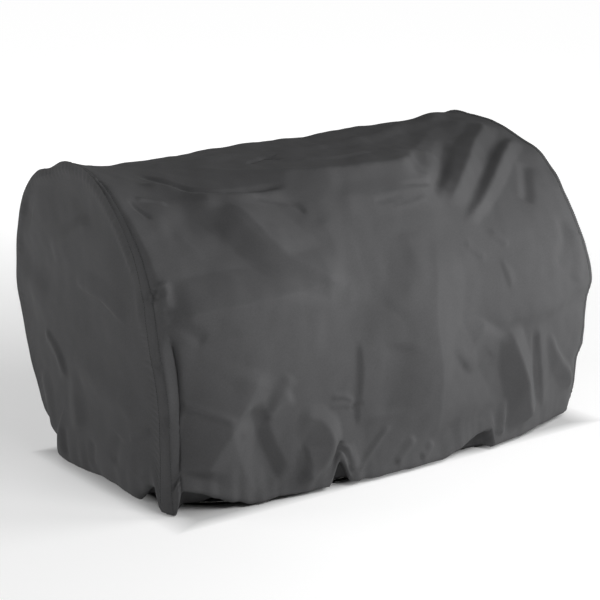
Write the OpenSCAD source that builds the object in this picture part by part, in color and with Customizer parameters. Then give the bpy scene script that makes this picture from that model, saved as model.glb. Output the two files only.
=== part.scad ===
// Fitted cloth cover for a built-in grill head, as it stands when it is on the grill.
// One long panel runs up the front, over the top and down the back. Two D-shaped end
// panels close it, and an elastic in the hem draws the lower edge in all round.
// X runs along the cover, -Y is the front, +Z is up. The hem rests on z = 0.

/* [Size] */
// Length from one end seam to the other
cover_length = 810; // [700:5:900]
// Greatest depth, front to back, at the middle of the length
cover_depth = 525; // [450:5:600]
// Height of the crest at the middle of the length
cover_height = 482; // [430:2:540]

/* [Drape] */
// How far the crest lies behind the middle of the depth
crest_back = 92; // [60:2:120]
// How far the front stands further out at the middle than at the ends
front_bow = 72; // [20:1:90]
// How far the back stands further out at the middle than at the ends
rear_bow = 12; // [0:1:30]
// How much higher the crest is at the middle than at the ends
crest_bow = 8; // [0:1:20]
// Height at which the front stands furthest out
front_belly = 150; // [100:2:220]
// Height at which the back stands furthest out
rear_belly = 260; // [180:2:300]
// How full the upper quarters of the outline are: 2 is a plain ellipse
upper_fullness = 2.15; // [1.9:0.05:2.6]
// How far the hem draws the front in
front_tuck = 40; // [25:1:60]
// How far the hem draws the back in at the middle
rear_tuck = 80; // [40:1:110]
// How far the hem draws the end panels in
end_tuck = 30; // [15:1:40]
// Height below which the end panels curl in
end_roll = 60; // [40:2:90]
// How far the end panels bulge out past their seams
end_bulge = 14; // [0:1:25]

/* [Cloth and seams] */
// Thickness of the cloth shells
cloth = 2; // [1.5:0.1:3]
// Thickness of the tape over the inside of each end seam
tape = 1.2; // [0.8:0.1:2]
// Thickness of the sewing thread
thread = 0.8; // [0.5:0.1:1.2]

/* [Hem] */
// Width of the folded hem casing
hem_width = 22; // [20:1:30]
// Height of the folded hem casing
hem_height = 9; // [8:0.5:12]
// Wall of the hem casing
hem_wall = 1.5; // [1:0.1:2]
// Width of the flat elastic
elastic_width = 13; // [8:1:13]
// Thickness of the flat elastic
elastic_thickness = 2; // [1.5:0.1:2.5]

/* [Hidden] */

charcoal = [0.27, 0.27, 0.28];
charcoal_dark = [0.2, 0.2, 0.21];
tape_grey = [0.14, 0.14, 0.15];
thread_black = [0.07, 0.07, 0.07];
elastic_white = [0.75, 0.75, 0.73];

half_l = cover_length / 2;
half_d = cover_depth / 2;
// The panel edge lies at mid-height of the casing, and reaches this far into it
edge_z = (hem_height - cloth) / 2;
edge_in = 2 * hem_wall;
// The back is drawn in this much more at the ends than at the middle
rear_tuck_more = 30;
// Steps up each lower quarter and each upper quarter of the outline
low_steps = 7;
top_steps = 12;
// The outline stops this far short of straight up on each side of the crest
crest_gap = 6;
// Columns across an end panel
end_columns = 10;
// Stations along the cover, from the middle (0) to a seam (1)
stations = [0, 0.2, 0.38, 0.55, 0.7, 0.82, 0.91, 0.965, 1];
next_station = stations[len(stations) - 2];
all_stations = concat([for (i = [len(stations) - 1 : -1 : 1]) -stations[i]], stations);
// Where the seam tape and the topstitching lie, as shares of the first strip beside a seam
tape_from = 0.06;
tape_to = 0.75;
topstitch_at = 0.36;
thread_share = 0.05;

function lerp(a, b, f) = a + (b - a) * f;
function flat(rows) = [for (row = rows) for (p = row) p];
function backwards(list) = [for (i = [len(list) - 1 : -1 : 0]) list[i]];

// Share of the full swell reached at station k: none at the seams, all at the middle
function swell(k) = 1 - pow(abs(k), 6);
// Furthest reach in Y of one side (front -1, back 1) at station k
function reach(side, k) = side * (half_d - (side < 0 ? front_bow : rear_bow) * (1 - swell(k)));
// How far the hem draws that side in
function tuck(side, k) = side < 0 ? front_tuck : rear_tuck + rear_tuck_more * (1 - swell(k));
function belly(side) = side < 0 ? front_belly : rear_belly;
function crest(k) = cover_height - crest_bow * (1 - swell(k));
// Y of the hem line, moved inwards by w
function hem_y(side, k, w) = reach(side, k) - side * (tuck(side, k) + w);
// X of the hem line at a seam, moved inwards by w
function hem_x(w) = half_l - end_tuck - w;

// One side of the outline at station k, set in by e, as [y, z] from the hem to the crest
function side_outline(side, k, e) =
    let (y = reach(side, k), t = tuck(side, k), b = belly(side))
    concat(
        [[hem_y(side, k, edge_in), edge_z + e]],
        [for (i = [0 : low_steps])
            let (a = 90 - 90 * i / low_steps)
            [y - side * t + side * (t - e) * cos(a), b - (b - edge_z - e) * sin(a)]],
        [for (i = [1 : top_steps])
            let (a = (90 - crest_gap) * i / top_steps, power = 2 / upper_fullness)
            [crest_back + (y - crest_back - side * e) * pow(cos(a), power),
             b + (crest(k) - b - e) * pow(sin(a), power)]]
    );

// Half the length at height z, set in by e: the end panels curl in near the hem
function half_x(z, e) =
    let (drop = (end_roll - z) / (end_roll - edge_z - e))
    z >= end_roll ? half_l - e
                  : half_l - end_tuck + (end_tuck - e) * sqrt(max(0, 1 - drop * drop));

function place(k, p, e, first) = [k * (first ? hem_x(edge_in) : half_x(p[1], e)), p[0], p[1]];
function side_points(side, k, e) =
    let (outline = side_outline(side, k, e))
    [for (i = [0 : len(outline) - 1]) place(k, outline[i], e, i == 0)];
// The whole outline at station k, from the front hem over the crest to the back hem
function ring(k, e) = concat(side_points(-1, k, e), backwards(side_points(1, k, e)));

// A sheet of cloth between two matching grids of points
module sheet(outer, inner) {
    n = len(outer);
    m = len(outer[0]);
    back = n * m;
    function at(i, j) = i * m + j;
    edge = concat(
        [for (j = [0 : m - 2]) [at(0, j), at(0, j + 1)]],
        [for (i = [0 : n - 2]) [at(i, m - 1), at(i + 1, m - 1)]],
        [for (j = [m - 1 : -1 : 1]) [at(n - 1, j), at(n - 1, j - 1)]],
        [for (i = [n - 1 : -1 : 1]) [at(i, 0), at(i - 1, 0)]]
    );
    faces = concat(
        [for (i = [0 : n - 2]) for (j = [0 : m - 2]) [at(i, j), at(i, j + 1), at(i + 1, j + 1)]],
        [for (i = [0 : n - 2]) for (j = [0 : m - 2]) [at(i, j), at(i + 1, j + 1), at(i + 1, j)]],
        [for (i = [0 : n - 2]) for (j = [0 : m - 2])
            [back + at(i, j), back + at(i + 1, j + 1), back + at(i, j + 1)]],
        [for (i = [0 : n - 2]) for (j = [0 : m - 2])
            [back + at(i, j), back + at(i + 1, j), back + at(i + 1, j + 1)]],
        [for (s = edge) [s[0], back + s[0], back + s[1]]],
        [for (s = edge) [s[0], back + s[1], s[1]]]
    );
    polyhedron(points = concat(flat(outer), flat(inner)), faces = faces);
}

// A closed loop swept through matching four-cornered sections
module loop(sections) {
    n = len(sections);
    m = len(sections[0]);
    function at(i, j) = (i % n) * m + j % m;
    faces = [
        for (i = [0 : n - 1]) for (j = [0 : m - 1])
            each [[at(i, j), at(i + 1, j + 1), at(i, j + 1)], [at(i, j), at(i + 1, j), at(i + 1, j + 1)]]
    ];
    polyhedron(points = flat(sections), faces = faces);
}

module wrap_panel() {
    color(charcoal)
        sheet([for (k = all_stations) ring(k, 0)], [for (k = all_stations) ring(k, cloth)]);
}

// One row across an end panel, from the front seam to the back seam
function end_row(i, e) =
    let (
        front = side_points(-1, 1, e)[i],
        rear = side_points(1, 1, e)[i],
        last = len(side_points(1, 1, e)) - 1
    )
    [for (c = [0 : end_columns])
        let (
            u = c / end_columns,
            y = lerp(front[1], rear[1], u),
            z = lerp(front[2], rear[2], u),
            bulge = end_bulge * 4 * u * (1 - u) * sin(180 * i / last)
        )
        [(i == 0 ? hem_x(edge_in) : half_x(z, e)) + bulge, y, z]];

module end_panel() {
    rows = [len(side_points(1, 1, 0)) - 1 : -1 : 0];
    color(charcoal)
        sheet([for (i = rows) end_row(i, 0)], [for (i = rows) end_row(i, cloth)]);
}

// A strip along the right-hand seam between shares f0 and f1 of the first strip of cloth,
// from depth e0 to depth e1 below its outer face
function seam_line(f, e) =
    let (at_seam = ring(1, e), beside = ring(next_station, e), last = len(ring(1, e)) - 3)
    [for (i = [2 : last]) lerp(at_seam[i], beside[i], f)];
module seam_strip(f0, f1, e0, e1) {
    sheet([seam_line(f1, e0), seam_line(f0, e0)], [seam_line(f1, e1), seam_line(f0, e1)]);
}

module seam_tape() {
    color(tape_grey) seam_strip(tape_from, tape_to, cloth, cloth + tape);
}
module seam_stitching() {
    color(thread_black) seam_strip(0, thread_share, -thread, 0);
}
module topstitching() {
    color(thread_black) seam_strip(topstitch_at, topstitch_at + thread_share, -thread, 0);
}

// The folded casing in section, as [inward, up]: upper lip, top, fold, underside, lower lip.
// It is set in by e, and its mouth faces outwards to take the panel edge.
function casing_section(e) =
    let (r = hem_height / 2, gap = cloth / 2 + 0.2)
    concat(
        [[e, r + gap], [e, hem_height - e], [hem_width - r, hem_height - e]],
        [for (a = [60 : -30 : -60]) [hem_width - r + (r - e) * cos(a), r + (r - e) * sin(a)]],
        [[hem_width - r, e], [e, e], [e, r - gap]]
    );

module long_casing(side) {
    function path(e) = [
        for (s = casing_section(e))
            [for (k = all_stations) [k * hem_x(s[0]), hem_y(side, k, s[0]), s[1]]]
    ];
    if (side > 0) sheet(path(0), path(hem_wall));
    else sheet(backwards(path(0)), backwards(path(hem_wall)));
}

module end_casing() {
    function path(e) = [
        for (s = casing_section(e))
            [for (side = [-1, 1]) [hem_x(s[0]), hem_y(side, 1, s[0]), s[1]]]
    ];
    color(charcoal_dark) sheet(backwards(path(0)), backwards(path(hem_wall)));
}

module front_hem_casing() {
    color(charcoal_dark) long_casing(-1);
}
module rear_hem_casing() {
    color(charcoal_dark) long_casing(1);
}

// A point of the hem line at station k on one side, moved inwards by w, at height z
function hem_point(side, k, w, z) = [k * hem_x(w), hem_y(side, k, w), z];
// A flat band inside the hem, closed all the way round
module hem_band(w0, w1, z0, z1) {
    function section(side, k) = [for (c = [[w0, z0], [w1, z0], [w1, z1], [w0, z1]])
        hem_point(side, k, c[0], c[1])];
    loop(concat(
        [for (k = all_stations) section(-1, k)],
        [for (k = backwards(all_stations)) section(1, k)]
    ));
}

elastic_z = (hem_height - elastic_thickness) / 2;
elastic_w = (hem_width - elastic_width) / 2;
module hem_elastic() {
    color(elastic_white)
        hem_band(elastic_w, elastic_w + elastic_width, elastic_z, elastic_z + elastic_thickness);
}

// Rows of thread that hold the lapped ends of the elastic, at the middle of the back
tack_rows = 5;
tack_pitch = 4;
module elastic_bar_tack() {
    color(thread_black)
        for (i = [0 : tack_rows - 1])
            translate([(i - (tack_rows - 1) / 2) * tack_pitch,
                       hem_y(1, 0, elastic_w + elastic_width - 1),
                       elastic_z + elastic_thickness + thread / 2])
                rotate([-90, 0, 0])
                    cylinder(h = elastic_width - 2, d = thread, $fn = 24);
}

// The row of stitches that closes the casing round the panel edge
stitch_in = 4;
module hem_stitching() {
    color(thread_black)
        hem_band(stitch_in, stitch_in + thread, hem_height, hem_height + thread);
}

wrap_panel();
mirror([1, 0, 0]) end_panel();  // left_end_panel
end_panel();  // right_end_panel
mirror([1, 0, 0]) seam_tape();  // left_seam_tape
seam_tape();  // right_seam_tape
mirror([1, 0, 0]) seam_stitching();  // left_seam_stitching
seam_stitching();  // right_seam_stitching
mirror([1, 0, 0]) topstitching();  // left_topstitching
topstitching();  // right_topstitching
front_hem_casing();
rear_hem_casing();
mirror([1, 0, 0]) end_casing();  // left_hem_casing
end_casing();  // right_hem_casing
hem_elastic();
elastic_bar_tack();
hem_stitching();
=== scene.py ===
import math
import bpy
import numpy as np
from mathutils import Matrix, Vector


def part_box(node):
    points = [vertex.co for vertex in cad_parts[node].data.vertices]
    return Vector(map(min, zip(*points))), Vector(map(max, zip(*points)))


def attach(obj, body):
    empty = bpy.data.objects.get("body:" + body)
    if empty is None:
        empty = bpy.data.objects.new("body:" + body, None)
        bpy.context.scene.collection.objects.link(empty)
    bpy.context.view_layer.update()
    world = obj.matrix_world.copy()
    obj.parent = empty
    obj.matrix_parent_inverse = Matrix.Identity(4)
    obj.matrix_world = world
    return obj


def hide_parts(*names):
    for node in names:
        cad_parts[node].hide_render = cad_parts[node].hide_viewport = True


# Grill cover: a soft charcoal cover that stands open underneath on its elastic hem.
# Tables below are in millimetres and heights of folds too; everything else is in metres.
MM = 0.001
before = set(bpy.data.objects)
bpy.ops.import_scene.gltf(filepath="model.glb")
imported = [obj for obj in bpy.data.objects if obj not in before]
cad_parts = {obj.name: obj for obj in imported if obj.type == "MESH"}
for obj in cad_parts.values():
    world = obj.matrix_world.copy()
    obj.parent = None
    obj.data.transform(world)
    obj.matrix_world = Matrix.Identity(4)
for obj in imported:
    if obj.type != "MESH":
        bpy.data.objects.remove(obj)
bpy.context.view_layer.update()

# ------------------------------------------------------------------ camera, lights, floor

def aim(obj, target):
    obj.rotation_euler = (Vector(target) - obj.location).to_track_quat("-Z", "Y").to_euler()


def area_light(name, place, target, size, power):
    data = bpy.data.lights.new(name, "AREA")
    data.shape = "RECTANGLE"
    data.size, data.size_y = size
    data.energy = power
    obj = bpy.data.objects.new(name, data)
    bpy.context.scene.collection.objects.link(obj)
    obj.location = place
    aim(obj, target)
    return obj


camera_data = bpy.data.cameras.new("camera")
camera_data.lens = 108
camera_data.sensor_width = 36
camera = bpy.data.objects.new("camera", camera_data)
bpy.context.scene.collection.objects.link(camera)
camera.location = (-1.7104, -2.2877, 0.9814)
aim(camera, (-0.0248, 0.0028, 0.2281))
bpy.context.scene.camera = camera
bpy.context.scene.view_settings.view_transform = "Standard"

area_light("key", (2.5, -1.44, 1.03), (0, 0, 0.2), (1.3, 1.3), 74)
area_light("front", (0.05, -1.35, 1.1), (0, 0, 0.25), (1.1, 0.5), 19)
area_light("fill", (-2.53, 1.58, 0.57), (0, 0, 0.2), (1.3, 1.3), 35)
area_light("back", (0.3, 2.4, 1.8), (0, 0, 0.2), (1.6, 1.2), 13)

world = bpy.data.worlds.new("studio")
bpy.context.scene.world = world
world.use_nodes = True
wn, wl = world.node_tree.nodes, world.node_tree.links
wn.clear()
w_coord = wn.new("ShaderNodeTexCoord")
w_split = wn.new("ShaderNodeSeparateXYZ")
w_ramp = wn.new("ShaderNodeValToRGB")
w_back = wn.new("ShaderNodeBackground")
w_out = wn.new("ShaderNodeOutputWorld")
w_ramp.color_ramp.elements[0].position = 0.0
w_ramp.color_ramp.elements[0].color = (0.15, 0.15, 0.15, 1)
w_ramp.color_ramp.elements[1].position = 0.5
w_ramp.color_ramp.elements[1].color = (0.05, 0.05, 0.05, 1)
wl.new(w_coord.outputs["Generated"], w_split.inputs[0])
wl.new(w_split.outputs["Z"], w_ramp.inputs[0])
wl.new(w_ramp.outputs[0], w_back.inputs["Color"])
w_back.inputs["Strength"].default_value = 1.0
wl.new(w_back.outputs[0], w_out.inputs["Surface"])

floor_mesh = bpy.data.meshes.new("floor")
floor_mesh.from_pydata([(-40, -40, 0), (40, -40, 0), (40, 40, 0), (-40, 40, 0)], [], [(0, 1, 2, 3)])
floor = bpy.data.objects.new("floor", floor_mesh)
bpy.context.scene.collection.objects.link(floor)
floor.location = (0, -0.035, -0.0002)

# ------------------------------------------------------------------ materials

def new_material(name):
    mat = bpy.data.materials.new(name)
    mat.use_nodes = True
    nodes, links = mat.node_tree.nodes, mat.node_tree.links
    nodes.clear()
    out = nodes.new("ShaderNodeOutputMaterial")
    shader = nodes.new("ShaderNodeBsdfPrincipled")
    links.new(shader.outputs[0], out.inputs["Surface"])
    return mat, nodes, links, shader


def maths(mat, operation, *values):
    """The output of a Math node. Each value is a number or another node's output."""
    node = mat.node_tree.nodes.new("ShaderNodeMath")
    node.operation = operation
    for socket, value in zip(node.inputs, values):
        if isinstance(value, float):
            socket.default_value = value
        else:
            mat.node_tree.links.new(value, socket)
    return node.outputs[0]


def map_range(mat, value, from_low, from_high, to_low, to_high, kind="LINEAR"):
    node = mat.node_tree.nodes.new("ShaderNodeMapRange")
    node.interpolation_type = kind
    for key, v in (("From Min", from_low), ("From Max", from_high),
                   ("To Min", to_low), ("To Max", to_high)):
        node.inputs[key].default_value = v
    mat.node_tree.links.new(value, node.inputs["Value"])
    return node.outputs[0]


def cloth_material(name, colour, rough=0.72, specular=0.14, weave=0.5, grain=0.12):
    """Coated woven polyester: a plain weave, slubs, and faint cloudy wear."""
    mat, nodes, links, shader = new_material(name)
    coord = nodes.new("ShaderNodeTexCoord")

    def noise(scale, detail):
        n = nodes.new("ShaderNodeTexNoise")
        n.inputs["Scale"].default_value = scale
        n.inputs["Detail"].default_value = detail
        links.new(coord.outputs["Object"], n.inputs["Vector"])
        return n

    cloud, slub = noise(9, 4), noise(420, 2)
    patchy = maths(mat, "MULTIPLY", maths(mat, "ADD", cloud.outputs["Fac"], slub.outputs["Fac"]), 0.5)
    ramp = nodes.new("ShaderNodeValToRGB")
    ramp.color_ramp.elements[0].position = 0.3
    ramp.color_ramp.elements[0].color = [c * (1 - grain) for c in colour] + [1]
    ramp.color_ramp.elements[1].position = 0.7
    ramp.color_ramp.elements[1].color = [c * (1 + grain) for c in colour] + [1]
    links.new(patchy, ramp.inputs[0])
    links.new(ramp.outputs[0], shader.inputs["Base Color"])
    roughness = map_range(mat, cloud.outputs["Fac"], 0.0, 1.0, rough - 0.05, rough + 0.05)
    links.new(roughness, shader.inputs["Roughness"])
    shader.inputs["Specular IOR Level"].default_value = specular

    threads = []
    for axis in ("X", "Y", "Z"):
        wave = nodes.new("ShaderNodeTexWave")
        wave.bands_direction = axis
        wave.inputs["Scale"].default_value = 330
        wave.inputs["Distortion"].default_value = 0.6
        wave.inputs["Detail"].default_value = 1
        links.new(coord.outputs["Object"], wave.inputs["Vector"])
        threads.append(wave.outputs["Fac"])
    weave_height = maths(mat, "ADD", maths(mat, "ADD", threads[0], threads[1]), threads[2])
    weave_bump = nodes.new("ShaderNodeBump")
    weave_bump.inputs["Strength"].default_value = 0.25 * weave
    weave_bump.inputs["Distance"].default_value = 0.0002
    links.new(weave_height, weave_bump.inputs["Height"])
    slub_bump = nodes.new("ShaderNodeBump")
    slub_bump.inputs["Strength"].default_value = 0.3 * weave
    slub_bump.inputs["Distance"].default_value = 0.0004
    links.new(slub.outputs["Fac"], slub_bump.inputs["Height"])
    links.new(weave_bump.outputs[0], slub_bump.inputs["Normal"])
    links.new(slub_bump.outputs[0], shader.inputs["Normal"])
    return mat


def plain_material(name, colour, rough, grain=0.1, scale=60, specular=0.3):
    mat, nodes, links, shader = new_material(name)
    coord = nodes.new("ShaderNodeTexCoord")
    n = nodes.new("ShaderNodeTexNoise")
    n.inputs["Scale"].default_value = scale
    n.inputs["Detail"].default_value = 3
    links.new(coord.outputs["Object"], n.inputs["Vector"])
    ramp = nodes.new("ShaderNodeValToRGB")
    ramp.color_ramp.elements[0].color = [c * (1 - grain) for c in colour] + [1]
    ramp.color_ramp.elements[1].color = [c * (1 + grain) for c in colour] + [1]
    links.new(n.outputs["Fac"], ramp.inputs[0])
    links.new(ramp.outputs[0], shader.inputs["Base Color"])
    shader.inputs["Roughness"].default_value = rough
    shader.inputs["Specular IOR Level"].default_value = specular
    return mat, shader


COVER = cloth_material("cover_cloth", (0.058, 0.058, 0.0595))
HEM = cloth_material("hem_cloth", (0.045, 0.045, 0.046))
TAPE = cloth_material("seam_tape_cloth", (0.03, 0.03, 0.031), rough=0.6)
THREAD = plain_material("thread", (0.022, 0.022, 0.023), 0.55, 0.2, 900)[0]
ELASTIC = cloth_material("elastic", (0.6, 0.6, 0.58), rough=0.7, specular=0.2)


def floor_material():
    """The floor glows: a painted glow stands in for the light on it. The glow is weaker near the object,
    a painted shade round it, and there is none under the cover, a painted shadow.
    """
    mat, shader = plain_material("floor", (0.6, 0.6, 0.6), 1.0, 0.004, 2, 0.0)
    nodes, links = mat.node_tree.nodes, mat.node_tree.links
    place = nodes.new("ShaderNodeTexCoord").outputs["Object"]
    distance, split = nodes.new("ShaderNodeVectorMath"), nodes.new("ShaderNodeSeparateXYZ")
    distance.operation = "LENGTH"
    links.new(place, distance.inputs[0])
    links.new(place, split.inputs[0])
    # Painted glow on the floor, fading towards the object: a painted shade round it
    painted_glow = map_range(mat, distance.outputs["Value"], 0.5, 3.0, GLOW_NEAR, GLOW_FAR, "SMOOTHSTEP")
    wide = maths(mat, "MULTIPLY", maths(mat, "ABSOLUTE", split.outputs["X"]), 1 / PAINTED_SHADOW_X)
    deep = maths(mat, "MULTIPLY", maths(mat, "ABSOLUTE", split.outputs["Y"]), 1 / PAINTED_SHADOW_Y)
    # Painted shadow: no glow inside the cover's footprint, so the floor under it is dark
    outside_painted_shadow = map_range(mat, maths(mat, "MAXIMUM", wide, deep), 0.93, 1.08, 0.0, 1.0)
    links.new(maths(mat, "MULTIPLY", painted_glow, outside_painted_shadow), shader.inputs["Emission Strength"])
    shader.inputs["Emission Color"].default_value = (1, 1, 1, 1)
    return mat


# The floor's painted glow near the object (lower, a painted shade) and far from it, and the half sizes of
# the painted shadow under the cover
GLOW_NEAR, GLOW_FAR = 0.44, 0.95
PAINTED_SHADOW_X, PAINTED_SHADOW_Y = 0.405, 0.205
floor_mesh.materials.append(floor_material())

# ------------------------------------------------------------------ shape of the cover

def curve(points):
    """A smooth curve with no overshoot through (x in mm, value) points, as a function of x in metres."""
    px = np.array([p[0] for p in points], float) * MM
    py = np.array([p[1] for p in points], float)
    h, d = np.diff(px), np.diff(py) / np.diff(px)
    m = np.empty(len(px))
    m[0], m[-1] = d[0], d[-1]
    both = d[:-1] * d[1:]
    m[1:-1] = np.where(both > 0, 2 * both / np.where(both > 0, d[:-1] + d[1:], 1), 0)

    def value(x):
        x = np.clip(x, px[0], px[-1])
        i = np.clip(np.searchsorted(px, x, side="right") - 1, 0, len(h) - 1)
        t = (x - px[i]) / h[i]
        return (py[i] * (1 + 2 * t) * (1 - t) ** 2 + m[i] * h[i] * t * (1 - t) ** 2
                + py[i + 1] * t * t * (3 - 2 * t) - m[i + 1] * h[i] * t * t * (1 - t))
    return value


def mm(points):
    """The same for values in mm: it gives metres."""
    f = curve(points)
    return lambda x: f(x) * MM


def step(a, b, x):
    t = np.clip((x - a) / (b - a), 0, 1)
    return t * t * (3 - 2 * t)


def hill(x, middle, spread):
    return np.exp(-((x - middle) / spread) ** 2)


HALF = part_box("wrap_panel")[1][0]
front_low, front_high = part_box("front_hem_casing")
rear_low, rear_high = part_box("rear_hem_casing")
HEM_WIDTH = 0.022
HEM_HALF = front_high[0]

# Y of the front, height of its belly, and so on, at places along X
front_y = mm([(-405, -166), (-399, -184), (-388, -199), (-300, -222), (-150, -240), (0, -246),
              (150, -251), (300, -243), (370, -231), (405, -216)])
front_belly = mm([(-405, 140), (-200, 140), (0, 150), (200, 200), (405, 230)])
front_power = curve([(-405, 2.0), (0, 2.3), (405, 2.06)])
crest_y = mm([(-405, 71), (-300, 90), (0, 90), (405, 110)])
crest_z = mm([(-405, 478), (-360, 466), (-300, 459), (0, 466), (150, 468), (250, 471), (330, 475),
              (405, 478)])
back_y = mm([(-405, 259), (-380, 262), (0, 262), (380, 262), (405, 252)])
back_belly = mm([(-405, 265), (0, 250), (405, 250)])
back_power = curve([(-405, 2.4), (-300, 2.1), (0, 2.1), (405, 2.0)])
back_low_power = curve([(-405, 1.35), (-250, 1.5), (405, 1.6)])
floor_front = mm([(-405, -172), (-399, -194), (-385, -206), (-300, -226), (-200, -243), (-100, -254),
                  (0, -258), (150, -258), (250, -246), (330, -226), (380, -206), (405, -182)])
floor_back = mm([(-405, 132), (-300, 172), (0, 196), (300, 172), (405, 140)])
# Y of the crease in front of the flat top
shoulder_y = mm([(-405, 88), (-330, 84), (-275, 60), (-228, 38), (-189, 3), (-147, -34), (-100, -74),
                 (-44, -101), (22, -118), (72, -126), (104, -114), (130, -88), (193, -35), (280, 36),
                 (340, 85), (405, 108)])
# How far the right-hand seam stands out past its plane at each height
right_push = mm([(0, 5), (50, 4), (95, 1), (125, 11), (160, 10), (190, 12), (232, 22), (245, 20),
                 (269, 14), (307, 5), (343, 2), (376, 0), (405, 8), (431, 12), (451, 9), (480, 2)])
# Radius of the turn at the hem, height of the cloth's lowest line, and where the panel edges end
ROLL = 0.006
SOLE_Z, LIP_Z, LIP_IN = 0.001, 0.0045, 0.003
# How much of the back's length is its tucked lower part
REAR_TUCK = 0.10
# The topstitching and the two edges of the tape, measured from the seam, and the tape's depth
TOPSTITCH, TAPE_NEAR, TAPE_FAR, TAPE_DEPTH = 0.0062, 0.0009, 0.0106, 0.0014
# The cloth above the hem stands this much higher than in the tables
LIFT = 0.0086


def hem_front(x, w=0.0):
    k = np.clip(np.abs(x) / HALF, 0, 1)
    return front_low[1] + (front_high[1] - HEM_WIDTH - front_low[1]) * k ** 6 + w


def hem_back(x, w=0.0):
    k = np.clip(np.abs(x) / HALF, 0, 1)
    return rear_high[1] + (rear_low[1] + HEM_WIDTH - rear_high[1]) * k ** 6 - w


def half_outline(x, back):
    """Y and Z of one side of the outline at each x, from the hem's mouth to the crest."""
    x = x[:, None]
    if back:
        side, y_belly, z_belly, power = 1, back_y(x), back_belly(x), back_power(x)
        y_floor, y_hem, low = floor_back(x), hem_back(x, LIP_IN), back_low_power(x)
    else:
        side, y_belly, z_belly, power = -1, front_y(x), front_belly(x), front_power(x)
        y_floor, y_hem, low = floor_front(x), hem_front(x, LIP_IN), None
    y_top, z_top = crest_y(x), crest_z(x)
    parts = []
    t = np.linspace(0, 1, 12, endpoint=False)[None]
    parts.append((y_hem + (y_floor - side * ROLL - y_hem) * t, LIP_Z + (SOLE_Z - LIP_Z) * t))
    a = np.linspace(0, 1, 8, endpoint=False)[None] * np.pi / 2
    parts.append((y_floor - side * ROLL * (1 - np.sin(a)), SOLE_Z + ROLL * (1 - np.cos(a)) + 0 * x))
    z0 = SOLE_Z + ROLL
    a = (1 - np.linspace(0, 1, 60, endpoint=False)[None]) * np.pi / 2
    if back:
        cy, sz = np.cos(a) ** (2 / low), np.sin(a) ** (2 / low)
        parts.append((y_floor + (y_belly - y_floor) * cy, z_belly + (z0 - z_belly) * sz))
    else:
        t = np.linspace(0, 1, 60, endpoint=False)[None]
        z = z0 + (z_belly - z0) * t
        parts.append((y_belly + (y_floor - y_belly) * (1 - t) ** 2.5, z))
    a = np.linspace(0, 1, 90)[None] * np.pi / 2
    cy, sz = np.cos(a) ** (2 / power), np.sin(a) ** (2 / power)
    y_up, z_up = y_top + (y_belly - y_top) * cy, z_belly + (z_top - z_belly) * sz
    if not back:
        # The top is flat behind a crease, and the front rises straight up to the crease
        y_c = np.minimum(shoulder_y(x), y_top - 0.002)
        z_c = z_top - 0.007 * np.clip((y_top - y_c) / 0.15, 0, 1)
        at_c = np.array([np.interp(c, yi, zi) for c, yi, zi in zip(y_c[:, 0], y_up, z_up)])[:, None]
        rise = np.maximum(z_c - at_c, 0)
        flat_top = z_c + (z_top - z_c) * np.clip((y_up - y_c) / (y_top - y_c), 0, 1)
        z_up = np.where(y_up > y_c, np.maximum(z_up, flat_top),
                        z_up + rise * np.clip((y_up - y_belly) / (y_c - y_belly), 0, 1) ** 1.7)
    parts.append((y_up, z_up))
    y = np.concatenate([np.broadcast_to(p[0], (len(x), p[0].shape[1])) for p in parts], 1)
    z = np.concatenate([np.broadcast_to(p[1], (len(x), p[1].shape[1])) for p in parts], 1)
    at_left = step(-0.33, -0.405, x)
    if back:
        z = z - 0.010 * at_left * hill(y, 0.138, 0.032) * (z > 0.3)
    else:
        y = y + 0.009 * hill(x, -0.405, 0.018) * hill(z, 0.25, 0.06)
    return y, z


def resample(y, z, n):
    """Even steps along each outline, and how far each step is from the crest."""
    s = np.concatenate([np.zeros((len(y), 1)), np.cumsum(np.hypot(np.diff(y), np.diff(z)), 1)], 1)
    length = s[:, -1]
    want = np.linspace(0, 1, n)[None] * length[:, None]
    ry = np.array([np.interp(w, si, yi) for w, si, yi in zip(want, s, y)])
    rz = np.array([np.interp(w, si, zi) for w, si, zi in zip(want, s, z)])
    return ry, rz, length[:, None] - want


def columns():
    """X of the columns of the wrap panel: close together beside the seams."""
    edge = np.concatenate([np.arange(0, 0.014, 0.00138), np.arange(0.0145, 0.03, 0.0025)])
    inner = HALF - edge[-1] - 0.0025
    middle = np.linspace(-inner, inner, int(2 * inner / 0.0034))
    return np.concatenate([-HALF + edge, middle, (HALF - edge)[::-1]])


XS = columns()
N_FRONT, N_BACK = 178, 178
front_ys, front_zs, front_run = resample(*half_outline(XS, False), N_FRONT)
back_ys, back_zs, back_run = resample(*half_outline(XS, True), N_BACK)
FRONT_LENGTH, BACK_LENGTH = front_run[:, 0], back_run[:, 0]
X = np.repeat(XS[:, None], N_FRONT + N_BACK - 1, 1)
Y = np.concatenate([front_ys, back_ys[:, ::-1][:, 1:]], 1)
Z = np.concatenate([front_zs, back_zs[:, ::-1][:, 1:]], 1)
# Q is the way up the front and on over the crest, 0 at the crest
Q = np.concatenate([-front_run, back_run[:, ::-1][:, 1:]], 1)
is_front = np.arange(X.shape[1])[None] < N_FRONT


def on_front(x, z):
    i = np.interp(x, XS, np.arange(len(XS)))
    lo = int(min(i, len(XS) - 2))
    q = [-np.interp(z, front_zs[k, 12:], front_run[k, 12:]) for k in (lo, lo + 1)]
    return q[0] + (q[1] - q[0]) * (i - lo)


def on_back(x, z):
    i = np.interp(x, XS, np.arange(len(XS)))
    lo = int(min(i, len(XS) - 2))
    q = [np.interp(z, back_zs[k, 12:], back_run[k, 12:]) for k in (lo, lo + 1)]
    return q[0] + (q[1] - q[0]) * (i - lo)


def on_top(x, y):
    i = int(round(np.interp(x, XS, np.arange(len(XS)))))
    half = X.shape[1] // 2
    rows = slice(half - 90, half + 90)
    return np.interp(y, Y[i, rows], Q[i, rows])


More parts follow.
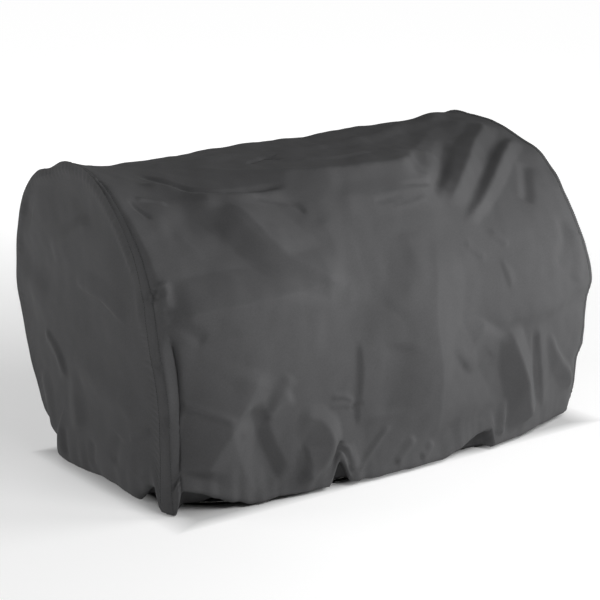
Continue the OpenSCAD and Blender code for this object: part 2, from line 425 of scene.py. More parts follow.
def smooth_path(points):
    """Extra points between the control points, on a Catmull-Rom curve."""
    p = np.array(points, float)
    if len(p) < 3:
        t = np.linspace(0, 1, 8)[:, None]
        return p[0] + (p[1] - p[0]) * t
    p = np.vstack([2 * p[0] - p[1], p, 2 * p[-1] - p[-2]])
    out = []
    for i in range(1, len(p) - 2):
        for t in np.linspace(0, 1, 6, endpoint=False):
            a, b, c, d = p[i - 1:i + 3]
            out.append(0.5 * (2 * b + (c - a) * t + (2 * a - 5 * b + 4 * c - d) * t * t
                              + (3 * b - a - 3 * c + d) * t ** 3))
    out.append(p[-2])
    return np.array(out)


def fold(U, V, H, points, soft=0.5, ends=(0.15, 0.15)):
    """Adds a ridge (or a valley, if its height is negative) to H along a path.
    points are (u, v, height, left, right): the height, and how wide the fold is on each side."""
    path = smooth_path(points)
    u0, v0 = path[:, 0], path[:, 1]
    reach = max(path[:, 3].max(), path[:, 4].max())
    near = ((U > u0.min() - reach) & (U < u0.max() + reach)
            & (V > v0.min() - reach) & (V < v0.max() + reach))
    if not near.any():
        return
    u, v = U[near], V[near]
    best = np.full(u.shape, 1e9)
    side, along = np.zeros(u.shape), np.zeros(u.shape)
    step_len = np.hypot(np.diff(u0), np.diff(v0))
    total = np.concatenate([[0], np.cumsum(step_len)])
    for i in range(len(path) - 1):
        du, dv = u0[i + 1] - u0[i], v0[i + 1] - v0[i]
        if step_len[i] < 1e-9:
            continue
        t = np.clip(((u - u0[i]) * du + (v - v0[i]) * dv) / step_len[i] ** 2, 0, 1)
        eu, ev = u - u0[i] - t * du, v - v0[i] - t * dv
        dist = np.hypot(eu, ev)
        closer = dist < best
        best = np.where(closer, dist, best)
        side = np.where(closer, np.sign(du * ev - dv * eu), side)
        along = np.where(closer, total[i] + t * step_len[i], along)
    height = np.interp(along, total, path[:, 2])
    width = np.where(side > 0, np.interp(along, total, path[:, 3]), np.interp(along, total, path[:, 4]))
    f = along / total[-1]
    if ends[0] > 0:
        height = height * step(0, ends[0], f + 0.02)
    if ends[1] > 0:
        height = height * step(0, ends[1], 1.02 - f)
    d = np.clip(best / np.maximum(width, 1e-4), 0, 1)
    H[near] += height * (soft * 0.5 * (1 + np.cos(np.pi * d)) + (1 - soft) * (1 - d))


def cloudy(U, V, seed, wave, count=14):
    """A smooth random field of about unit size, made of seeded waves of about that length."""
    rng = np.random.default_rng(seed)
    out = np.zeros(U.shape)
    for _ in range(count):
        turn, phase = rng.uniform(0, 2 * np.pi, 2)
        k = 2 * np.pi / (wave * rng.uniform(0.7, 1.6))
        out += np.cos(k * (U * np.cos(turn) + V * np.sin(turn)) + phase)
    return out / math.sqrt(count / 2)


HEIGHT = np.zeros(X.shape)


def wrap_fold(place, points, soft, ends):
    """A fold of the wrap panel. place(x, value) turns each point's second value into its Q."""
    pts = [(x * MM, place(x * MM, at * MM), h * MM, a * MM, b * MM) for x, at, h, a, b in points]
    fold(X, Q, HEIGHT, pts, soft, ends)


def front_fold(points, soft=0.5, ends=(0.15, 0.15)):
    wrap_fold(on_front, points, soft, ends)


def back_fold(points, soft=0.5, ends=(0.15, 0.15)):
    wrap_fold(on_back, points, soft, ends)


def top_fold(points, soft=0.5, ends=(0.15, 0.15)):
    wrap_fold(on_top, points, soft, ends)


# front: height, width to the left and to the right of the path, softness, then (x, z) points in mm.
# Paths run upwards (left is -X) or towards +X (left is upwards).

def front(h, left, right, soft, *points):
    front_fold([(x, z, h, left, right) for x, z in points], soft)


def back(h, left, right, soft, *points):
    back_fold([(x, z, 1.5 * h, left, right) for x, z in points], soft)


# Top: small wrinkles on the flat part behind the shoulder crease
top_fold([(-272, 66, 3, 10, 22), (-173, 50, 4, 10, 24), (-109, 44, 2, 10, 20)], 0.2)
top_fold([(-128, 0, -3, 5, 6), (-95, 8, -4, 5, 6), (-58, 15, -2, 5, 6)], 0.4)
top_fold([(-96, 12, -3, 5, 5), (-82, 0, -3, 5, 5), (-70, -12, -2, 5, 5)], 0.4)
top_fold([(-60, -30, 2, 8, 8), (0, -46, 3, 8, 10), (80, -52, 2, 8, 8)], 0.4)
top_fold([(-60, 40, 2, 30, 30), (60, 30, 3, 30, 30), (180, 50, 3, 30, 30), (280, 100, 2, 30, 30)], 0.7)
top_fold([(300, 60, 4, 30, 30), (350, 120, 5, 35, 35), (385, 190, 3, 30, 30)], 0.7)
# Upper left
front(5, 9, 24, 0.25, (-330, 449), (-300, 441), (-284, 435), (-264, 427), (-226, 422), (-184, 424),
      (-126, 428))
front(-4, 9, 8, 0.3, (-312, 455), (-296, 450), (-276, 444), (-256, 436), (-220, 431), (-178, 432),
      (-122, 436))
front(-2.5, 5, 5, 0.4, (-374, 436), (-368, 424), (-358, 412))
front(2.5, 6, 6, 0.4, (-360, 436), (-336, 431), (-318, 424))
front(-2.5, 8, 8, 0.5, (-186, 420), (-156, 417), (-128, 412), (-119, 398))
front_fold([(-292, 426, 4, 30, 24), (-265, 419, 8, 45, 32), (-240, 414, 10, 55, 42),
            (-223, 405, 12, 60, 46), (-213, 390, 12, 62, 48), (-206, 374, 12, 62, 48),
            (-192, 354, 11, 60, 46), (-166, 332, 9, 55, 38), (-132, 311, 7, 46, 26),
            (-98, 298, 4, 30, 16)], 0.15)
front_fold([(-325, 423, -3, 14, 30), (-301, 413, -5, 26, 40), (-284, 401, -6, 36, 48),
            (-273, 387, -7, 40, 50), (-262, 368, -7, 38, 50), (-235, 344, -6, 34, 45),
            (-188, 318, -5, 26, 36), (-140, 300, -4, 20, 28), (-103, 290, -3, 14, 20)], 0.3)
front(11, 56, 40, 0.12, (-392, 279), (-340, 286), (-250, 290), (-150, 302), (-98, 309))
front(-3, 13, 13, 0.8, (-388, 284), (-368, 268), (-342, 250))
front(4, 14, 14, 0.6, (-387, 296), (-384, 335))
# Beside the left seam
front(2.5, 6, 5, 0.4, (-398, 55), (-397, 90), (-398, 150), (-397, 255))
front(-4.5, 6, 12, 0.3, (-391, 135), (-392, 190), (-391, 262))
front(-5, 14, 16, 0.5, (-396, 310), (-394, 325))
# Lower left
front_fold([(-392, 45, -8, 8, 100), (-392, 110, -10, 8, 115), (-392, 180, -10, 8, 115),
            (-391, 235, -7, 8, 100), (-390, 275, -2, 8, 60)], 0.2, (0, 0))
front(3, 8, 8, 0.4, (-385, 160), (-350, 147), (-310, 130))
front_fold([(-362, 30, 9, 40, 56), (-340, 80, 14, 60, 66), (-312, 122, 16, 80, 56),
            (-286, 160, 9, 90, 36), (-262, 200, 3, 80, 30)], 0.12)
front(-9, 40, 20, 0.1, (-238, 10), (-250, 55), (-266, 92), (-285, 150))
front_fold([(-305, 105, 2, 12, 14), (-262, 128, 3, 14, 16), (-215, 158, 5, 18, 24)], 0.3)
front(3, 16, 16, 0.3, (-258, 122), (-235, 160), (-215, 185))
front_fold([(-212, 0, 13, 50, 18), (-182, 30, 15, 62, 20), (-152, 66, 14, 66, 22),
            (-165, 106, 8, 50, 22), (-205, 122, 3, 24, 18)], 0.1)
front(-5, 14, 12, 0.3, (-136, 5), (-138, 40), (-136, 62))
front(5, 12, 14, 0.3, (-112, 0), (-114, 35), (-122, 58))
# Middle: creases from packing, and small wrinkles round their ends
front(2.5, 26, 40, 0.2, (-99, 268), (-98, 300), (-97, 352), (-97, 395))
front(-1.8, 36, 7, 0.2, (-103, 85), (-105, 122), (-102, 160), (-100, 220))
front(1.8, 6, 40, 0.2, (-96, 85), (-98, 122), (-95, 160), (-94, 216))
front(-3, 5, 5, 0.4, (-112, 116), (-104, 120), (-94, 124))
front(2.5, 5, 5, 0.4, (-152, 124), (-130, 127), (-110, 121))
front(2.5, 5, 5, 0.4, (-148, 142), (-126, 139), (-108, 128))
front(3.5, 6, 7, 0.2, (-102, 16), (-74, 46), (-44, 78))
front(3, 26, 34, 0.05, (-62, 418), (-25, 417), (21, 415), (83, 417), (145, 411))
front(-2, 5, 5, 0.5, (60, 424), (98, 420), (132, 419))
front(-1.8, 6, 6, 0.5, (0, 406), (25, 408), (50, 411))
front(1.6, 5, 6, 0.5, (30, 396), (62, 398), (95, 402))
front(4, 12, 12, 0.4, (-32, 14), (-15, 30), (2, 50))
front(4, 11, 12, 0.4, (18, 6), (30, 20), (42, 34))
front(-4, 40, 50, 0.8, (-50, 95), (-40, 150), (-22, 205))
front(2.5, 40, 40, 0.7, (-30, 250), (20, 300), (40, 360))
# Lower right
front_fold([(54, 20, 3, 90, 90), (49, 60, 9, 120, 112), (47, 100, 16, 135, 112), (44, 150, 18, 140, 88),
            (41, 205, 13, 140, 66), (46, 245, 10, 130, 60), (62, 295, 7, 110, 60),
            (78, 344, 3, 80, 50)], 0.15)
front_fold([(148, 216, 3, 50, 20), (139, 202, 8, 62, 26), (122, 185, 9, 52, 38), (110, 160, 8, 32, 48),
            (94, 145, 3, 12, 50)], 0.15)
front_fold([(193, 78, 2, 5, 12), (190, 45, 5, 7, 16), (184, 10, 6, 7, 18)], 0.2)
front_fold([(250, -6, 16, 46, 34), (241, 48, 19, 46, 34), (230, 96, 20, 42, 34),
            (217, 135, 17, 38, 34), (203, 178, 9, 26, 30), (196, 198, 3, 16, 20)], 0.12)
front(-2.2, 7, 7, 0.3, (284, 40), (274, 74), (261, 126), (256, 182))
front(3, 8, 22, 0.4, (300, 30), (287, 90), (274, 140), (268, 186))
front_fold([(376, 44, 4, 24, 16), (366, 80, 7, 30, 14), (340, 106, 7, 28, 12), (317, 132, 5, 20, 10),
            (298, 166, 2, 12, 8)], 0.15)
front(3, 50, 22, 0.7, (150, 214), (250, 210), (330, 218), (398, 236))
# Upper right
front_fold([(130, 384, 3, 20, 20), (148, 394, 7, 24, 24), (184, 411, 10, 28, 28), (245, 434, 11, 32, 30),
            (285, 447, 11, 32, 30), (345, 461, 9, 30, 28), (378, 470, 4, 24, 22)], 0.1)
front_fold([(112, 398, -3, 14, 12), (126, 413, -5, 16, 14), (162, 426, -5, 18, 16),
            (205, 444, -5, 20, 18),
            (258, 459, -3, 18, 16)], 0.3)
front_fold([(151, 359, 3, 8, 16), (212, 386, 7, 14, 20), (264, 410, 8, 17, 24), (306, 427, 8, 17, 24),
            (362, 444, 7, 17, 22), (390, 452, 4, 14, 16)], 0.1)
front(4, 22, 30, 0.5, (100, 425), (135, 436), (180, 456))
front(-3.5, 18, 18, 0.7, (301, 372), (324, 395), (356, 422))
front_fold([(209, 255, 1, 6, 8), (208, 275, 2.4, 9, 16), (203, 301, 1, 6, 8)], 0.6)
front(1.6, 12, 12, 0.9, (138, 334), (172, 306))
front(1.6, 10, 12, 0.9, (198, 344), (224, 320))
front(-4, 18, 20, 0.5, (325, 272), (353, 308), (367, 341))
front(3, 16, 18, 0.6, (360, 240), (378, 280), (388, 320))

# Back: folded in the same ways
back(8, 60, 30, 0.2, (-300, 425), (-220, 380), (-140, 330), (-90, 300))
back(-5, 26, 45, 0.4, (-320, 395), (-240, 350), (-160, 300))
back(7, 30, 50, 0.2, (310, 445), (262, 400), (215, 362), (190, 340))
back(3, 30, 30, 0.1, (-100, 120), (-99, 250), (-98, 400))
back(3, 30, 34, 0.1, (-330, 300), (-100, 302), (120, 300), (340, 303))
back(3, 30, 30, 0.1, (110, 130), (112, 260), (110, 410))
back(9, 40, 20, 0.2, (262, 30), (240, 90), (225, 150), (228, 200))
back(-5, 18, 18, 0.3, (200, 30), (190, 100), (180, 170))
back(8, 22, 60, 0.2, (40, 40), (46, 100), (44, 170), (40, 220))
back(7, 50, 20, 0.2, (-150, 40), (-160, 90), (-185, 150))
back(6, 30, 40, 0.3, (-330, 60), (-300, 120), (-280, 190))
back(-5, 40, 40, 0.7, (-60, 80), (-30, 180))
back(5, 30, 26, 0.8, (140, 240), (260, 242), (380, 244))

HEIGHT *= 1.2
# The middle of the front bellies out, and its left part overhangs below z 0.29
Z_FRONT = np.where(is_front, Z, 9.0)
HEIGHT += 0.010 * hill(X, 0.02, 0.21) * hill(Z_FRONT, 0.17, 0.14)
HEIGHT += 0.009 * hill(X, -0.26, 0.12) * hill(Z_FRONT, 0.30, 0.09)
# Soft unevenness of the whole cloth, and gathers that grow towards the hem
HEIGHT += 0.0014 * cloudy(X, Q, 3, 0.20) + 0.0006 * cloudy(X, Q, 5, 0.085) \
    + 0.00018 * cloudy(X, Q, 8, 0.032, count=20)
FRONT_TUCK = ROLL + np.abs(hem_front(XS) - floor_front(XS))
to_front_hem = (FRONT_LENGTH - FRONT_TUCK)[:, None] + Q
to_back_hem = (BACK_LENGTH - REAR_TUCK)[:, None] - Q
to_hem = np.where(is_front, to_front_hem, to_back_hem)
gather = np.sin(2 * np.pi * X / 0.037 + 1.7 * cloudy(X, 0 * X, 21, 0.16)) \
    + 0.5 * np.sin(2 * np.pi * X / 0.0213 + 1.3 * cloudy(X, 0 * X, 22, 0.12))
HEIGHT += np.where(is_front, 0.0007, 0.0018) * gather * step(0.075, -0.005, to_hem) \
    * (0.6 + 0.4 * cloudy(X, 0 * X, 23, 0.2, count=6))
# Puckers across each end seam, a raised felled seam, and the dent that the topstitching pulls
from_seam = HALF - np.abs(X)
pucker = np.sin(2 * np.pi * Q / 0.0105 + 1.5 * cloudy(Q, X * 0, 31, 0.05)) \
    * (0.55 + 0.45 * cloudy(Q, X * 0, 32, 0.07, count=8))
HEIGHT += 0.0008 * pucker * step(0.022, 0.004, from_seam) * step(0, 0.0015, from_seam)
HEIGHT += -0.0009 * hill(from_seam, TOPSTITCH, 0.0022) + 0.0006 * hill(from_seam, 0.003, 0.0022)



def outward(grid):
    """Outward normals of the wrap panel's grid."""
    n = np.cross(np.gradient(grid, axis=0), np.gradient(grid, axis=1))
    n /= np.maximum(np.linalg.norm(n, axis=-1, keepdims=True), 1e-12)
    front_middle = n[len(XS) // 2, N_FRONT // 3]
    return -n if front_middle[1] > 0 else n


SMOOTH = np.stack([X, Y, Z], -1)
P = SMOOTH + outward(SMOOTH) * HEIGHT[..., None]

# The hem draws the ends of the wrap panel in
for length, tuck, part in ((FRONT_LENGTH, FRONT_TUCK, slice(0, N_FRONT)),
                           (BACK_LENGTH, REAR_TUCK + 0 * XS, slice(N_FRONT, None))):
    under = np.abs(Q[:, part]) - (length - tuck)[:, None]
    pull = step(0, 1, under / tuck[:, None]) * (1 - HEM_HALF / HALF)
    P[:, part, 0] *= 1 - pull
P[..., 0] += right_push(P[..., 2]) * step(0.345, 0.405, X)
low_part = 1 - np.clip(P[..., 2] / 0.05, 0, 1)
P[..., 2] += LIFT * (1 - low_part)
# The front hem hangs a little clear of the floor, and stands up in three short arches
hang = curve([(-405, 0), (-300, 1), (-200, 6), (-120, 8), (300, 8), (380, 8), (405, 7)])
arch = curve([(-405, 0), (-397, 0), (-389, 34), (-360, 28), (-330, 17), (-300, 6), (-280, 0),
              (-153, 0), (-147, 14), (-135, 38), (-122, 16), (-114, 0), (55, 0), (80, 5), (120, 19),
              (156, 30), (165, 28), (171, 0), (405, 0)])
lifted = np.where(is_front, hang(X) * MM * low_part
                  + arch(X) * MM * step(0.10, 0.0, P[..., 2]), 0)
P[..., 2] += lifted * step(-0.038, -0.020, to_front_hem)
P[..., 2] = np.maximum(P[..., 2], 0.0008)

# ------------------------------------------------------------------ making pieces

def add_piece(name, verts, faces, material, node, slot):
    """A smooth-shaded mesh that rides on the root body and stands for one CAD node."""
    mesh = bpy.data.meshes.new(name)
    mesh.from_pydata([tuple(map(float, v)) for v in verts], [], [tuple(map(int, f)) for f in faces])
    mesh.materials.append(material)
    mesh.polygons.foreach_set("use_smooth", [True] * len(mesh.polygons))
    mesh.update()
    obj = bpy.data.objects.new(name, mesh)
    bpy.context.scene.collection.objects.link(obj)
    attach(obj, "root")
    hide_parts(node)
    return obj


def grid_faces(n, m, flip=False):
    i = np.arange(n - 1)[:, None] * m + np.arange(m - 1)[None]
    f = np.stack([i, i + 1, i + m + 1, i + m], -1).reshape(-1, 4)
    return f[:, ::-1] if flip else f


wrap = add_piece("cover_wrap_panel", P.reshape(-1, 3), grid_faces(*X.shape, True), COVER,
                 "wrap_panel", "cover_cloth")

# ------------------------------------------------------------------ end panels

END_ROLL = 0.011
# How far the left end's hem stands up at places along Y
end_arch = curve([(-260, 0), (-186, 0), (-172, 22), (-150, 32), (-128, 14), (-110, 0), (260, 0)])


def end_panel(side, name, node, folds, bulge):
    """A D-shaped panel: rings from its rim to its middle. Its rim is the wrap panel's end column."""
    col = 0 if side < 0 else -1
    rim3 = P[col].copy()
    y, z = Y[col], Z[col]
    v = z.copy()
    # Below the floor edge the flat cut runs straight on down
    reach = END_ROLL * np.pi / 2 + 0.018
    v_top, v_low = END_ROLL + SOLE_Z, END_ROLL + SOLE_Z - reach
    n_front = int(np.argmax(Q[col] > 0))
    for sel, step_dir in ((slice(0, n_front), 1), (slice(n_front, None), -1)):
        vv, yy, q = v[sel], y[sel], np.abs(Q[col][sel])
        if step_dir > 0:
            low = np.arange(len(vv)) < np.argmax(vv > SOLE_Z + ROLL)
        else:
            low = np.arange(len(vv)) >= len(vv) - np.argmax(vv[::-1] > SOLE_Z + ROLL)
        edge = q[~low].max()
        t = (q[low] - edge) / (q.max() - edge)
        vv[low] = (SOLE_Z + ROLL) + (v_low - SOLE_Z - ROLL) * t
        yy[low] = yy[~low][0 if step_dir > 0 else -1]
        v[sel] = vv
        y = y.copy()
        y[sel] = yy
    n_edge = 90
    t = np.linspace(0, 1, n_edge + 2)[1:-1]
    ends_y = y[-1], y[0]
    edge_y = ends_y[0] + (ends_y[1] - ends_y[0]) * t
    hem_y0, hem_y1 = rim3[-1][1], rim3[0][1]
    edge3 = np.stack([np.full(n_edge, side * (HEM_HALF - LIP_IN)), hem_y0 + (hem_y1 - hem_y0) * t,
                      np.full(n_edge, LIP_Z)], 1)
    blend = np.maximum(step(0.12, 0, t), step(0.88, 1, t))
    edge3[:, 0] += blend * ((1 - t) * (rim3[-1][0] - edge3[:, 0]) + t * (rim3[0][0] - edge3[:, 0]))
    rim_y, rim_v = np.concatenate([y, edge_y]), np.concatenate([v, np.full(n_edge, v_low)])
    rim3 = np.concatenate([rim3, edge3])
    rings = 58
    f = (np.arange(rings) / rings)[:, None]
    mid_y, mid_v = 0.045, 0.22
    U = rim_y[None] + (mid_y - rim_y[None]) * f
    V = rim_v[None] + (mid_v - rim_v[None]) * f
    gap = np.hypot(U - rim_y[None], V - rim_v[None])
    H = np.zeros(U.shape)
    for pts, soft, ends in folds:
        fold(U, V, H, [[c * MM for c in p] for p in pts], soft, ends)
    H += 0.0012 * cloudy(U, V, 41 + side, 0.17) + 0.0005 * cloudy(U, V, 44 + side, 0.075) \
        + 0.00016 * cloudy(U, V, 47 + side, 0.03, count=20)
    H += 0.001 * np.sin(2 * np.pi * U / 0.034 + 1.6 * cloudy(U, 0 * U, 51 + side, 0.15)) \
        * step(0.085, 0.0, V) * step(0.02, 0.05, gap)
    # A puffed band along the seam, puckered by its stitches
    ring_s = np.concatenate([[0], np.cumsum(np.hypot(np.diff(rim_y), np.diff(rim_v)))])[None] + 0 * U
    H += 0.0042 * hill(gap, 0.012, 0.008) * step(0.24, 0.33, V) \
        * (0.7 + 0.3 * cloudy(ring_s, 0 * U, 61, 0.09, count=6))
    H += 0.0009 * np.sin(2 * np.pi * ring_s / 0.011 + 1.5 * cloudy(ring_s, 0 * U, 62, 0.05)) \
        * step(0.026, 0.006, gap) * step(0, 0.003, gap)
    out = HALF + bulge(U, V, gap) + (right_push(V) if side > 0 else 0)
    low = V < v_top
    a = np.where(low, (v_top - V) / reach, 0)
    turn = np.clip(a / 0.7, 0, 1) * np.pi / 2
    run = np.clip((a - 0.7) / 0.3, 0, 1)
    x0 = out - END_ROLL * (1 - np.cos(turn))
    xs = x0 + (HEM_HALF - LIP_IN - x0) * run
    zs = np.where(low, SOLE_Z + END_ROLL * (1 - np.sin(turn)) + 0.0035 * run, V)
    pos = np.stack([side * xs, U, zs], -1)
    tang0 = np.roll(pos, -1, 1) - np.roll(pos, 1, 1)
    n = np.cross(tang0, np.gradient(pos, axis=0))
    n /= np.maximum(np.linalg.norm(n, axis=-1, keepdims=True), 1e-12)
    n = np.where((n[..., :1] * side) < 0, -n, n)
    pos = pos + n * H[..., None]
    pos[..., 2] += LIFT * np.clip(pos[..., 2] / 0.05, 0, 1)
    if side < 0:
        # The hem stands up beside the front corner
        pos[..., 2] += end_arch(pos[..., 1]) * MM * step(0.10, 0.0, pos[..., 2]) * (1 - run)
    fix = (rim3 - pos[0])[None] * step(0.032, 0.0, gap)[..., None]
    pos = pos + fix
    pos[..., 2] = np.maximum(pos[..., 2], 0.0008)
    m = pos.shape[1]
    verts = np.concatenate([pos.reshape(-1, 3), [pos[-1].mean(0)]])
    i = (np.arange(rings - 1)[:, None] * m + np.arange(m)[None])
    j = (np.arange(rings - 1)[:, None] * m + (np.arange(m)[None] + 1) % m)
    quads = np.stack([i, j, j + m, i + m], -1).reshape(-1, 4)
    last = (rings - 1) * m
    tris = [(last + k, last + (k + 1) % m, rings * m) for k in range(m)]
    faces = [tuple(q) for q in quads] + tris
    if side < 0:
        faces = [face[::-1] for face in faces]
    return add_piece(name, verts, faces, COVER, node, "cover_cloth")


LEFT_FOLDS = [
    # Folds as (y, z, height, left, right) in mm: soft hollows, then creases
    ([(160, 415, -4, 50, 60), (80, 415, -5, 60, 60), (0, 410, -4, 50, 50)], 0.9, (0.3, 0.3)),
    ([(225, 390, -3, 40, 40), (190, 370, -4, 45, 45)], 0.9, (0.3, 0.3)),
    ([(240, 300, -4, 50, 50), (180, 305, -5, 55, 55), (100, 290, -4, 50, 50)], 0.9, (0.3, 0.3)),
    ([(0, 402, 4, 22, 26), (60, 370, 5, 26, 30), (130, 332, 4, 22, 26)], 0.7, (0.2, 0.2)),
    ([(52, 300, 4, 9, 26), (10, 294, 6, 10, 30), (-32, 289, 6, 10, 30),
      (-92, 264, 4, 9, 26)], 0.1, (0.2, 0.2)),
    ([(157, 202, 4, 18, 9), (116, 176, 6, 24, 10), (100, 150, 6, 24, 10),
      (84, 133, 4, 18, 9)], 0.1, (0.2, 0.2)),
    ([(62, 182, 4, 34, 36), (-20, 156, 5, 36, 40), (-100, 136, 5, 34, 36),
      (-124, 126, 3, 26, 26)], 0.8, (0.3, 0.3)),
    ([(-98, 88, 3, 8, 12), (-122, 100, 4, 8, 12), (-146, 112, 3, 8, 10)], 0.2, (0.2, 0.2)),
    ([(-180, 240, -3, 7, 7), (-160, 232, -3, 7, 7), (-150, 228, -2, 6, 6)], 0.4, (0.2, 0.2)),
    ([(40, 60, 6, 30, 30), (60, 110, 5, 30, 30), (70, 160, 3, 26, 26)], 0.7, (0.2, 0.2)),
    ([(-60, 40, -5, 26, 26), (-70, 90, -4, 26, 26)], 0.7, (0.2, 0.2)),
    ([(130, 30, 5, 20, 20), (150, 80, 5, 22, 22), (180, 130, 3, 20, 20)], 0.6, (0.2, 0.2)),
    ([(10, 20, -4, 14, 14), (5, 60, -4, 18, 18)], 0.5, (0.1, 0.3)),
    ([(90, 15, -4, 12, 12), (95, 60, -3, 16, 16)], 0.5, (0.1, 0.3)),
]
RIGHT_FOLDS = [
    ([(-150, 200, 5, 28, 28), (-60, 190, 7, 30, 30), (60, 205, 5, 28, 28)], 0.6, (0.2, 0.2)),
    ([(180, 400, -6, 30, 40), (60, 420, -7, 35, 40), (0, 410, -5, 30, 35)], 0.9, (0.2, 0.2)),
    ([(-100, 330, 4, 20, 26), (0, 320, 5, 24, 26), (120, 290, 4, 20, 26)], 0.2, (0.2, 0.2)),
    ([(60, 60, 6, 24, 24), (40, 130, 6, 24, 24), (30, 190, 3, 20, 20)], 0.4, (0.1, 0.3)),
    ([(-100, 40, 5, 20, 24), (-90, 110, 5, 20, 24)], 0.4, (0.1, 0.3)),
    ([(150, 40, -5, 20, 20), (160, 120, -4, 22, 22)], 0.5, (0.1, 0.3)),
    ([(210, 300, -5, 30, 30), (150, 260, -5, 30, 30), (80, 250, -4, 26, 26)], 0.8, (0.2, 0.2)),
]


def left_bulge(U, V, gap):
    b = 0.008 * step(0, 0.10, gap)
    b = b + 0.009 * step(0.12, 0.03, V) * step(0, 0.05, gap) * step(-0.15, -0.08, U)
    return b


def right_bulge(U, V, gap):
    return 0.012 * step(0, 0.10, gap)


left_panel = end_panel(-1, "cover_left_end_panel", "left_end_panel", LEFT_FOLDS, left_bulge)
right_panel = end_panel(1, "cover_right_end_panel", "right_end_panel", RIGHT_FOLDS, right_bulge)

# ------------------------------------------------------------------ threads

def stitches(points, normals, length=0.003, pitch=0.004, radius=0.0005, proud=0.0003):
    """Separate stitches along a line: small capsules whose ends dip into the cloth."""
    s = np.concatenate([[0], np.cumsum(np.linalg.norm(np.diff(points, axis=0), axis=1))])
    mid = np.arange(pitch / 2, s[-1] - pitch / 2, pitch)

    def at(values, w):
        return np.stack([np.interp(w, s, values[:, k]) for k in range(3)], -1)

    c, n = at(points, mid), at(normals, mid)
    d = at(points, mid + length / 2) - at(points, mid - length / 2)
    d /= np.linalg.norm(d, axis=1, keepdims=True)
    n -= d * (n * d).sum(1, keepdims=True)
    n /= np.linalg.norm(n, axis=1, keepdims=True)
    side = np.cross(d, n)
    along = np.array([-1, -0.72, 0, 0.72, 1])
    thick = np.array([0.3, 0.85, 1, 0.85, 0.3])
    turn = np.arange(6) * np.pi / 3
    verts = (c[:, None, None] + d[:, None, None] * (along[None, :, None, None] * length / 2)
             + n[:, None, None] * ((proud * (1 - 1.6 * along ** 2))[None, :, None, None]
                                   + radius * (thick[:, None] * np.cos(turn))[None, :, :, None])
             + side[:, None, None] * (radius * (thick[:, None] * np.sin(turn)))[None, :, :, None])
    one = [(r * 6 + k, r * 6 + (k + 1) % 6, r * 6 + 6 + (k + 1) % 6, r * 6 + 6 + k)
           for r in range(4) for k in range(6)]
    caps = [tuple(range(6))[::-1], tuple(range(24, 30))]
    faces = [tuple(30 * i + v for v in f) for i in range(len(mid)) for f in one + caps]
    return verts.reshape(-1, 3), faces


PN = outward(P)
above_hem = np.where((to_hem[0] > 0.004) & (P[0, :, 2] > 0.008))[0]
LINE = slice(above_hem[0], above_hem[-1] + 1)


def wrap_line(side, inward):
    """Points and normals of the wrap panel along a line at that distance from a seam."""
    want = side * (HALF - inward)
    i = np.clip(np.interp(want, XS, np.arange(len(XS))), 0, len(XS) - 1.0001)
    lo, f = int(i), i - int(i)
    pts = P[lo, LINE] * (1 - f) + P[lo + 1, LINE] * f
    nor = PN[lo, LINE] * (1 - f) + PN[lo + 1, LINE] * f
    return pts, nor / np.linalg.norm(nor, axis=1, keepdims=True)


for side, word in ((-1, "left"), (1, "right")):
    pts, nor = wrap_line(side, 0.0)
    edge_nor = nor + np.array([side, 0, 0])
    edge_nor /= np.linalg.norm(edge_nor, axis=1, keepdims=True)
    add_piece(f"cover_{word}_seam_stitching", *stitches(pts, edge_nor, proud=0.0001), THREAD,
              f"{word}_seam_stitching", "thread")
    pts, nor = wrap_line(side, TOPSTITCH)
    add_piece(f"cover_{word}_topstitching", *stitches(pts, nor), THREAD,
              f"{word}_topstitching", "thread")
    rows_in = []
    for inward in np.linspace(TAPE_NEAR, TAPE_FAR, 6):
        pts, nor = wrap_line(side, inward)
        rows_in.append(pts - nor * TAPE_DEPTH)
    tape_grid = np.array(rows_in)
    tape = add_piece(f"cover_{word}_seam_tape", tape_grid.reshape(-1, 3),
                     grid_faces(*tape_grid.shape[:2], side < 0), TAPE, f"{word}_seam_tape", "seam_tape")

# ------------------------------------------------------------------ hem

def hem_x(w):
    return HEM_HALF - w


def casing_section():
    """The folded casing in section: (inward, up), from its upper lip round the fold to its lower lip."""
    a = np.linspace(70, -70, 11) * np.pi / 180
    return ([(0.0006, 0.0066), (0.002, 0.0078), (0.006, 0.0083), (0.010, 0.0080), (0.014, 0.0082),
             (0.0172, 0.0086)]
            + [(0.0175 + 0.0042 * math.cos(t), 0.0045 + 0.0041 * math.sin(t)) for t in a]
            + [(0.017, 0.0005), (0.012, 0.0008), (0.007, 0.0005), (0.002, 0.0010), (0.0006, 0.0022)])


def casing(name, node, line, seed, roll=None):
    """A gathered casing along line(t, w), a function that gives X and Y at t from -1 to 1."""
    t = np.linspace(-1, 1, 460 if "front" in name or "rear" in name else 200)
    section = casing_section()
    grid = []
    length = float(np.hypot(*(np.diff(np.stack(line(t, 0.0)), axis=1))).sum())
    s = (t + 1) / 2 * length
    ruffle = np.sin(2 * np.pi * s / 0.0105 + 2.0 * cloudy(s, 0 * s, seed, 0.06)) \
        * (0.7 + 0.3 * cloudy(s, 0 * s, seed + 1, 0.05, count=6))
    for k, (w, z) in enumerate(section):
        share = math.sin(math.pi * min(w / 0.021, 1))
        x, y = line(t, w + 0.0011 * ruffle * (w > 0.012))
        zz = z + (0.0007 * ruffle * share if z > 0.004 else 0.0003 * ruffle * share)
        x, y, zz = x + 0 * t, y + 0 * t, np.clip(zz + 0 * t, 0.0003, 0.0096)
        if roll is not None:
            x, y, zz = roll(x, y, zz)
        grid.append(np.stack([x, y, zz], -1))
    grid = np.array(grid)
    obj = add_piece(name, grid.reshape(-1, 3), grid_faces(*grid.shape[:2]), HEM, node, "hem_cloth")
    return obj


def long_line(side):
    hem = hem_front if side < 0 else hem_back
    return lambda t, w: (t * hem_x(w), hem(t * HALF, w))


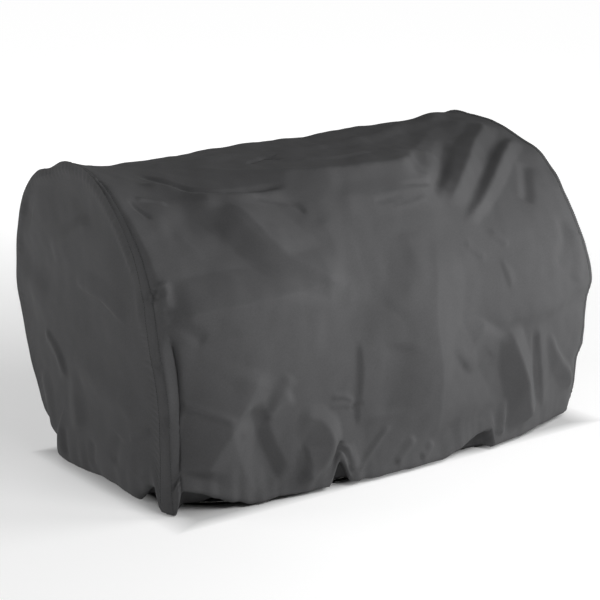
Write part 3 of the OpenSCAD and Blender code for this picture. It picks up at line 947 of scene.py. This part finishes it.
def end_line(side):
    def line(t, w):
        y0, y1 = hem_front(HALF, w), hem_back(HALF, w)
        return side * hem_x(w) + 0 * t, y0 + (y1 - y0) * (t + 1) / 2
    return line


def peeking(x, y, z):
    """Beside the front left corner the hem rolls up and shows below the end panel."""
    k = hill(y, -0.142, 0.026)
    return x - 0.012 * k, y, z + 0.012 * k


casing("cover_front_hem_casing", "front_hem_casing", long_line(-1), 71)
casing("cover_rear_hem_casing", "rear_hem_casing", long_line(1), 75)
casing("cover_left_hem_casing", "left_hem_casing", end_line(-1), 79, peeking)
casing("cover_right_hem_casing", "right_hem_casing", end_line(1), 83)


def hem_loop(w, z):
    """A closed line round the hem, that far in from its edge."""
    t = np.linspace(-1, 1, 400, endpoint=False)
    u = np.linspace(0, 1, 150, endpoint=False)
    hx = hem_x(w)
    front_edge, back_edge = hem_front(t * HALF, w), hem_back(t * HALF, w)
    e0, e1 = float(hem_front(HALF, w)), float(hem_back(HALF, w))
    x = np.concatenate([t * hx, np.full(150, hx), -t * hx, np.full(150, -hx)])
    y = np.concatenate([front_edge, e0 + (e1 - e0) * u, back_edge, e1 + (e0 - e1) * u])
    return np.stack([x, y, np.full(len(x), z)], -1)


band = []
for w, z in ((0.0047, 0.0037), (0.0051, 0.0053), (0.0110, 0.0055), (0.0169, 0.0053), (0.0173, 0.0037),
             (0.0110, 0.0035)):
    ring_pts = hem_loop(w, z)
    along = np.concatenate([[0], np.cumsum(np.linalg.norm(np.diff(ring_pts, axis=0), axis=1))])
    ring_pts[:, 2] += 0.00008 * np.sin(2 * np.pi * along / 0.004)
    band.append(ring_pts)
band = np.array(band)
n_band, m_band = band.shape[:2]
add_piece("cover_hem_elastic", band.reshape(-1, 3),
          [(i * m_band + j, i * m_band + (j + 1) % m_band, ((i + 1) % n_band) * m_band + (j + 1) % m_band,
            ((i + 1) % n_band) * m_band + j) for i in range(n_band) for j in range(m_band)],
          ELASTIC, "hem_elastic", "elastic")
hem_pts = hem_loop(0.0044, 0.0086)
hem_pts = np.concatenate([hem_pts, hem_pts[:1]])
add_piece("cover_hem_stitching", *stitches(hem_pts, np.tile([0.0, 0, 1], (len(hem_pts), 1))), THREAD,
          "hem_stitching", "thread")

tack_low, tack_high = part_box("elastic_bar_tack")
tack_verts, tack_faces = [], []
up2 = np.tile([0.0, 0, 1], (2, 1))
for x in np.linspace(tack_low[0], tack_high[0], 5):
    line = np.array([(x, tack_low[1] - 0.0002, 0.0058), (x, tack_high[1] + 0.0002, 0.0058)])
    v, f = stitches(line, up2, 0.0024, 0.0027, 0.0004, 0.0002)
    tack_faces += [tuple(i + len(tack_verts) for i in q) for q in f]
    tack_verts += list(v)
for k, y in enumerate(np.linspace(tack_low[1], tack_high[1], 9)):
    tilt = 0.0006 if k % 2 else -0.0006
    line = np.array([(tack_low[0], y - tilt, 0.0060), (tack_high[0], y + tilt, 0.0060)])
    v, f = stitches(line, up2, 0.0030, 0.0034, 0.00035, 0.0002)
    tack_faces += [tuple(i + len(tack_verts) for i in q) for q in f]
    tack_verts += list(v)
add_piece("cover_elastic_bar_tack", tack_verts, tack_faces, THREAD, "elastic_bar_tack", "thread")

bpy.context.view_layer.update()
